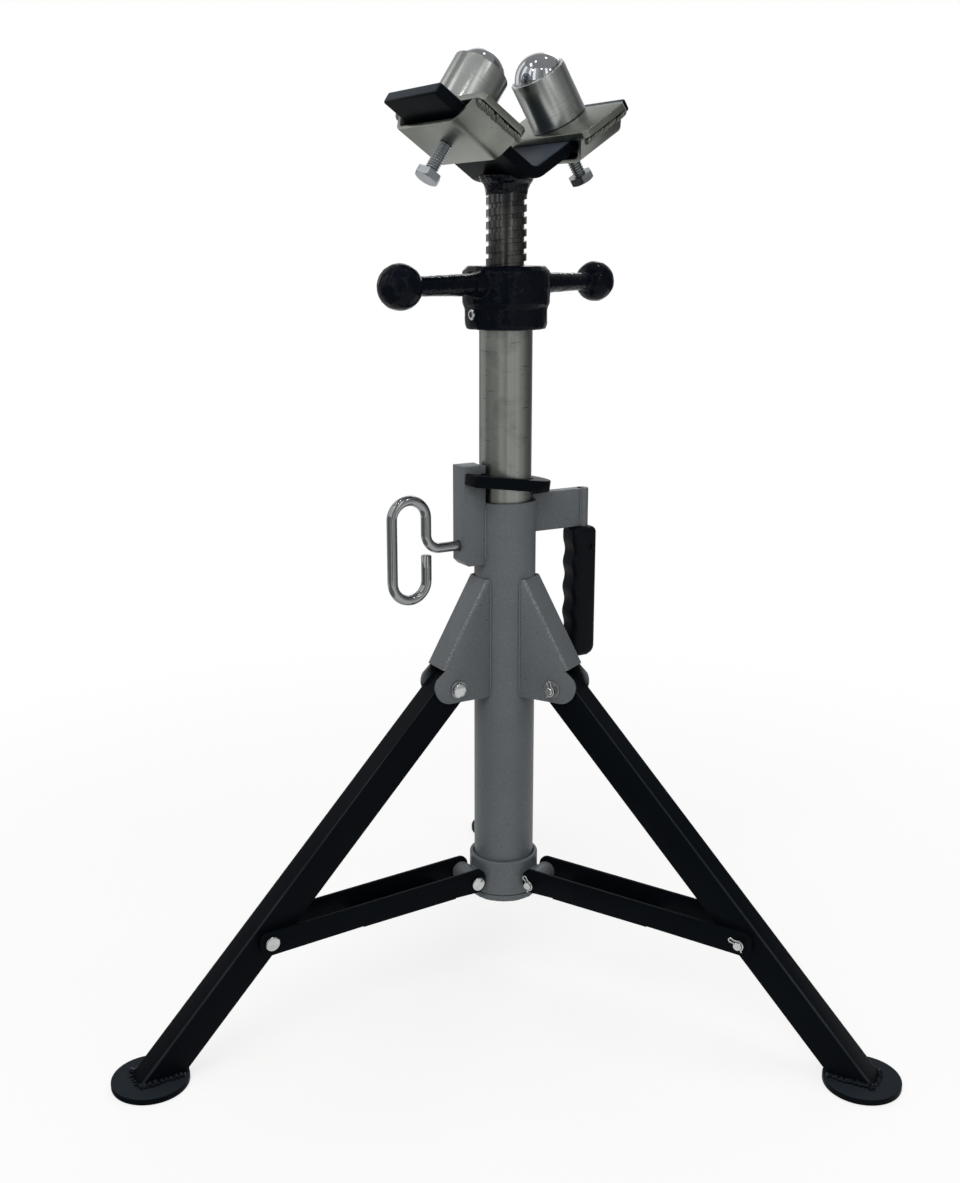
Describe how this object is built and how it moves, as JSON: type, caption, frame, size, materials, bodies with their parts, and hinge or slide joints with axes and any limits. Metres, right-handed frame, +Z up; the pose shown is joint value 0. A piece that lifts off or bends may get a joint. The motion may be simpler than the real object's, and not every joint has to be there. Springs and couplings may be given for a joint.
{
  "type": "folding tripod pipe stand",
  "caption": "Folding tripod stand with a pinned telescopic mast, a screw jack turned by a tommy-bar nut, and a V head whose clamped saddles carry ball transfer units for pipe.",
  "frame": {"origin": "on the floor, under the middle of the box round the three feet", "axes": "+Z up along the column; +Y towards the rear leg; -Y is the side with the two front legs"},
  "size_m": [0.7334, 0.6449, 0.9275],
  "materials": {
    "grey_paint": "satin grey enamel with a fine orange peel",
    "black_paint": "satin black enamel",
    "black_casting": "gloss blue-black enamel over a rough casting",
    "grip_plastic": "matt black moulding",
    "drawn_steel": "bare drawn tube, oiled",
    "oiled_steel": "dark oiled thread",
    "zinc_plate": "dull zinc plate",
    "bright_steel": "bright plated rod and wire",
    "turned_steel": "turned steel",
    "polished_ball": "polished bearing ball"
  },
  "bodies": {
    "column": {"outer_tube": "grey_paint", "base_flange": "grey_paint", "pin_boss": "grey_paint", "handle_bracket": "grey_paint", "hand_grip": "grip_plastic", "hub_bracket_left": "grey_paint", "hub_pin_left": "bright_steel", "hub_pin_clip_left": "bright_steel", "hub_washer_left": "bright_steel", "hub_bracket_right": "grey_paint", "hub_pin_right": "bright_steel", "hub_pin_clip_right": "bright_steel", "hub_washer_right": "bright_steel", "hub_bracket_rear": "grey_paint", "hub_pin_rear": "bright_steel", "hub_pin_clip_rear": "bright_steel", "hub_washer_rear": "bright_steel"},
    "left_leg": {"leg_left": "black_paint", "foot_left": "black_paint"},
    "right_leg": {"leg_right": "black_paint", "foot_right": "black_paint"},
    "rear_leg": {"leg_rear": "black_paint", "foot_rear": "black_paint"},
    "collar": {"collar": "grey_paint", "collar_pin_left": "bright_steel", "collar_pin_clip_left": "bright_steel", "collar_pin_right": "bright_steel", "collar_pin_clip_right": "bright_steel", "collar_pin_rear": "bright_steel", "collar_pin_clip_rear": "bright_steel"},
    "left_brace": {"brace_left": "black_paint", "brace_pin_head_left": "bright_steel", "brace_pin_tail_left": "bright_steel", "brace_pin_clip_left": "bright_steel"},
    "right_brace": {"brace_right": "black_paint", "brace_pin_head_right": "bright_steel", "brace_pin_tail_right": "bright_steel", "brace_pin_clip_right": "bright_steel"},
    "rear_brace": {"brace_rear": "black_paint", "brace_pin_head_rear": "bright_steel", "brace_pin_tail_rear": "bright_steel", "brace_pin_clip_rear": "bright_steel"},
    "mast": {"inner_tube": "drawn_steel", "thrust_washer": "turned_steel"},
    "lock_pin": {"locking_pin": "bright_steel"},
    "brake_plate": {"friction_plate": "black_paint"},
    "nut": {"jack_nut": "black_casting", "nut_set_screw": "turned_steel"},
    "screw_head": {"jack_screw": "oiled_steel", "v_head": "black_paint"},
    "left_saddle": {"saddle_plate_left": "zinc_plate", "saddle_strap_left": "zinc_plate", "ball_housing_left": "turned_steel"},
    "left_bolt": {"clamp_bolt_left": "zinc_plate"},
    "left_ball": {"transfer_ball_left": "polished_ball"},
    "right_saddle": {"saddle_plate_right": "zinc_plate", "saddle_strap_right": "zinc_plate", "ball_housing_right": "turned_steel"},
    "right_bolt": {"clamp_bolt_right": "zinc_plate"},
    "right_ball": {"transfer_ball_right": "polished_ball"}
  },
  "joints": [
    {"name": "left_leg_fold", "type": "hinge", "parent": "column", "child": "left_leg", "pos_m": [-0.05369, -0.1265, 0.3364], "axis": [0.5, -0.866, 0], "range_deg": [0, 40]},
    {"name": "right_leg_fold", "type": "hinge", "parent": "column", "child": "right_leg", "pos_m": [0.05369, -0.1265, 0.3364], "axis": [0.5, 0.866, 0], "range_deg": [0, 40]},
    {"name": "rear_leg_fold", "type": "hinge", "parent": "column", "child": "rear_leg", "pos_m": [0, -0.0335, 0.3364], "axis": [-1, 0, 0], "range_deg": [0, 40]},
    {"name": "collar_slide", "type": "slide", "parent": "column", "child": "collar", "axis": [0, 0, 1], "range_m": [0, 0.1337]},
    {"name": "left_brace_fold", "type": "hinge", "parent": "collar", "child": "left_brace", "pos_m": [-0.03672, -0.1167, 0.1273], "axis": [0.5, -0.866, 0], "range_deg": [0, 79.19]},
    {"name": "right_brace_fold", "type": "hinge", "parent": "collar", "child": "right_brace", "pos_m": [0.03672, -0.1167, 0.1273], "axis": [0.5, 0.866, 0], "range_deg": [0, 79.19]},
    {"name": "rear_brace_fold", "type": "hinge", "parent": "collar", "child": "rear_brace", "pos_m": [0, -0.0531, 0.1273], "axis": [-1, 0, 0], "range_deg": [0, 79.19]},
    {"name": "mast_lift", "type": "slide", "parent": "column", "child": "mast", "axis": [0, 0, 1], "range_m": [0, 0.2]},
    {"name": "locking_pin_pull", "type": "slide", "parent": "column", "child": "lock_pin", "axis": [0.866, 0.5, 0], "range_m": [-0.022, 0.01]},
    {"name": "plate_release", "type": "hinge", "parent": "column", "child": "brake_plate", "pos_m": [-0.02854, -0.11198, 0.53957], "axis": [0.5, -0.866, 0], "range_deg": [0, 8.4]},
    {"name": "nut_turn", "type": "hinge", "parent": "mast", "child": "nut", "pos_m": [0, -0.0955, 0.7214], "axis": [0, 0, 1], "range_deg": [-3600, 1800]},
    {"name": "screw_lift", "type": "slide", "parent": "mast", "child": "screw_head", "axis": [0, 0, 1], "range_m": [-0.0551, 0.1101]},
    {"name": "left_saddle_slide", "type": "slide", "parent": "screw_head", "child": "left_saddle", "axis": [-0.7014, -0.4383, 0.5621], "range_m": [-0.005, 0.02]},
    {"name": "left_bolt_turn", "type": "hinge", "parent": "left_saddle", "child": "left_bolt", "pos_m": [-0.05543, -0.13014, 0.84331], "axis": [0.4767, 0.2979, 0.8271], "continuous": true},
    {"name": "left_ball_roll", "type": "hinge", "parent": "left_saddle", "child": "left_ball", "pos_m": [-0.02643, -0.11201, 0.90253], "axis": [0.5299, -0.848, 0], "continuous": true},
    {"name": "right_saddle_slide", "type": "slide", "parent": "screw_head", "child": "right_saddle", "axis": [0.7144, 0.4464, 0.5388], "range_m": [-0.005, 0.02]},
    {"name": "right_bolt_turn", "type": "hinge", "parent": "right_saddle", "child": "right_bolt", "pos_m": [0.05868, -0.05883, 0.84336], "axis": [-0.4569, -0.2855, 0.8425], "continuous": true},
    {"name": "right_ball_roll", "type": "hinge", "parent": "right_saddle", "child": "right_ball", "pos_m": [0.0311, -0.07607, 0.90351], "axis": [-0.5299, 0.848, 0], "continuous": true}
  ],
  "couplings": [
    {"joint": "right_leg_fold", "follows": "left_leg_fold", "ratio": 1},
    {"joint": "rear_leg_fold", "follows": "left_leg_fold", "ratio": 1},
    {"joint": "collar_slide", "follows": "left_leg_fold", "m_per_rad": 0.19082},
    {"joint": "left_brace_fold", "follows": "left_leg_fold", "ratio": 1.9722},
    {"joint": "right_brace_fold", "follows": "left_leg_fold", "ratio": 1.9722},
    {"joint": "rear_brace_fold", "follows": "left_leg_fold", "ratio": 1.9722},
    {"joint": "screw_lift", "follows": "nut_turn", "m_per_rad": -0.0017507}
  ]
}
